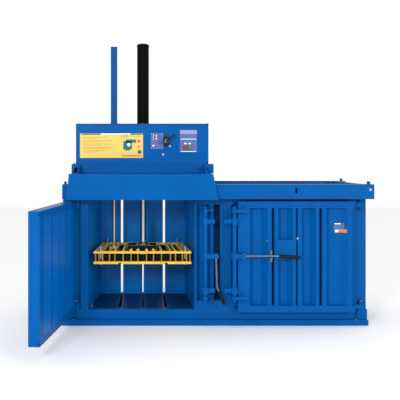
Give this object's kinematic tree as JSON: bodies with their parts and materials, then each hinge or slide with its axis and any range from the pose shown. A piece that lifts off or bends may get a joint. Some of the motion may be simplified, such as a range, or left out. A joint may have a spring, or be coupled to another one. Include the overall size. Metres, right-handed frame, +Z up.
{
  "type": "recycling baler",
  "caption": "Twin-chamber vertical recycling baler with slotted corrugated doors, latch levers, a hydraulic press head on rails and a ribbed platen.",
  "frame": {"origin": "middle of the base on its underside", "axes": "+Z up, +X to the right seen from the doors, +Y towards the back"},
  "size_m": [3.132, 2.0346, 2.814],
  "materials": {
    "blue_paint": "glossy machine blue, powder coat",
    "floor_paint": "darker blue, scuffed",
    "yellow_paint": "glossy yellow",
    "zinc_steel": "zinc plated",
    "hard_chrome": "ground and hard chromed",
    "bronze_tint": "oiled steel with a bronze tint",
    "black_paint": "gloss black",
    "bronze": "turned bronze",
    "grip_rubber": "moulded",
    "grey_paint": "satin grey",
    "cast_grey": "cast",
    "roller_steel": "turned",
    "plate_yellow": "printed sheet",
    "plate_lilac": "printed sheet",
    "red_plastic": "moulded",
    "green_plastic": "moulded",
    "black_metal": "satin black"
  },
  "bodies": {
    "root": {"base_frame": "blue_paint", "left_chamber_floor": "floor_paint", "right_chamber_floor": "floor_paint", "left_back_wall": "blue_paint", "right_back_wall": "blue_paint", "chamber_side_walls": "blue_paint", "outer_posts": "blue_paint", "latch_posts": "blue_paint", "rear_posts_and_braces": "blue_paint", "front_rail_beam": "blue_paint", "header_plate": "blue_paint", "rear_rail_beam": "blue_paint", "rail_ties_and_stops": "blue_paint", "door_hinge_brackets": "blue_paint", "left_latch_bearings": "blue_paint"},
    "left_door": {"left_door_frame": "blue_paint", "left_door_panels": "blue_paint", "left_door_lever_clip": "zinc_steel"},
    "right_door": {"right_door_frame": "blue_paint", "right_door_panels": "blue_paint", "right_door_lever_clip": "zinc_steel", "right_latch_bearings": "blue_paint"},
    "left_latch": {"left_latch_shaft": "blue_paint"},
    "right_latch": {"right_latch_shaft": "blue_paint"},
    "left_lever": {"left_lever_rod": "zinc_steel", "left_lever_grip": "grip_rubber"},
    "right_lever": {"right_lever_rod": "zinc_steel", "right_lever_grip": "grip_rubber"},
    "head": {"carriage_frame": "blue_paint", "roller_axles": "zinc_steel", "apron": "blue_paint", "cross_beam": "blue_paint", "cylinder_barrel": "black_paint", "cylinder_cap": "black_paint", "cylinder_gland": "black_metal", "guide_tube": "blue_paint", "guide_bush": "bronze", "power_box_shell": "blue_paint", "power_box_lid": "blue_paint", "power_box_rear_cover": "blue_paint", "oil_tank": "grey_paint", "electric_motor": "grey_paint", "pump_and_valve_block": "cast_grey", "hydraulic_pipes": "black_metal", "instruction_plate": "plate_yellow", "switch_plates": "plate_lilac", "valve_body": "black_metal"},
    "left_rollers": {"left_rollers": "roller_steel"},
    "right_rollers": {"right_rollers": "roller_steel"},
    "platen": {"platen_press_plates": "yellow_paint", "platen_frame_bars": "yellow_paint", "platen_ribs": "yellow_paint", "platen_top_bars": "yellow_paint", "rod_flange_and_bolts": "zinc_steel", "piston_rod": "hard_chrome", "piston": "cast_grey", "guide_rod": "bronze_tint"},
    "red_button": {"start_button_red": "red_plastic"},
    "green_button": {"start_button_green": "green_plastic"},
    "valve_lever": {"valve_lever": "black_metal"}
  },
  "joints": [
    {"name": "left_door_hinge", "type": "hinge", "parent": "root", "child": "left_door", "pos_m": [-1.351, -0.385, 0.15], "axis": [0, 0, 1], "range_deg": [-20, 97.8]},
    {"name": "right_door_hinge", "type": "hinge", "parent": "root", "child": "right_door", "pos_m": [1.428, -0.385, 0.15], "axis": [0, 0, 1], "range_deg": [0, 110]},
    {"name": "left_latch_turn", "type": "hinge", "parent": "root", "child": "left_latch", "pos_m": [-0.106, -0.505, 0.3], "axis": [0, 0, 1], "range_deg": [-170, 0]},
    {"name": "right_latch_turn", "type": "hinge", "parent": "right_door", "child": "right_latch", "pos_m": [0.174, -0.505, 0.3], "axis": [0, 0, 1], "range_deg": [-90, 0]},
    {"name": "left_lever_pivot", "type": "hinge", "parent": "left_latch", "child": "left_lever", "pos_m": [-0.004, -0.505, 0.692], "axis": [0, -1, 0], "range_deg": [0, 4]},
    {"name": "right_lever_pivot", "type": "hinge", "parent": "right_latch", "child": "right_lever", "pos_m": [0.266, -0.505, 0.692], "axis": [0, -1, 0], "range_deg": [0, 40]},
    {"name": "head_slide", "type": "slide", "parent": "root", "child": "head", "axis": [1, 0, 0], "range_m": [-0.02, 0.02]},
    {"name": "left_rollers_turn", "type": "hinge", "parent": "head", "child": "left_rollers", "pos_m": [-1.324, -0.03, 1.4263], "axis": [0, 1, 0], "continuous": true},
    {"name": "right_rollers_turn", "type": "hinge", "parent": "head", "child": "right_rollers", "pos_m": [-0.124, -0.03, 1.4263], "axis": [0, 1, 0], "continuous": true},
    {"name": "platen_lift", "type": "slide", "parent": "head", "child": "platen", "axis": [0, 0, 1], "range_m": [-0.42, 0.7]},
    {"name": "red_button_press", "type": "slide", "parent": "head", "child": "red_button", "axis": [0, 1, 0], "range_m": [0, 0.004], "stiffness_N_per_m": 400, "springref_m": -0.002},
    {"name": "green_button_press", "type": "slide", "parent": "head", "child": "green_button", "axis": [0, 1, 0], "range_m": [0, 0.004], "stiffness_N_per_m": 400, "springref_m": -0.002},
    {"name": "valve_lever_turn", "type": "hinge", "parent": "head", "child": "valve_lever", "pos_m": [-0.466, -0.225, 1.806], "axis": [0, -1, 0], "range_deg": [-30, 30]}
  ],
  "couplings": [
    {"joint": "left_rollers_turn", "follows": "head_slide", "rad_per_m": 22.222},
    {"joint": "right_rollers_turn", "follows": "head_slide", "rad_per_m": 22.222}
  ]
}
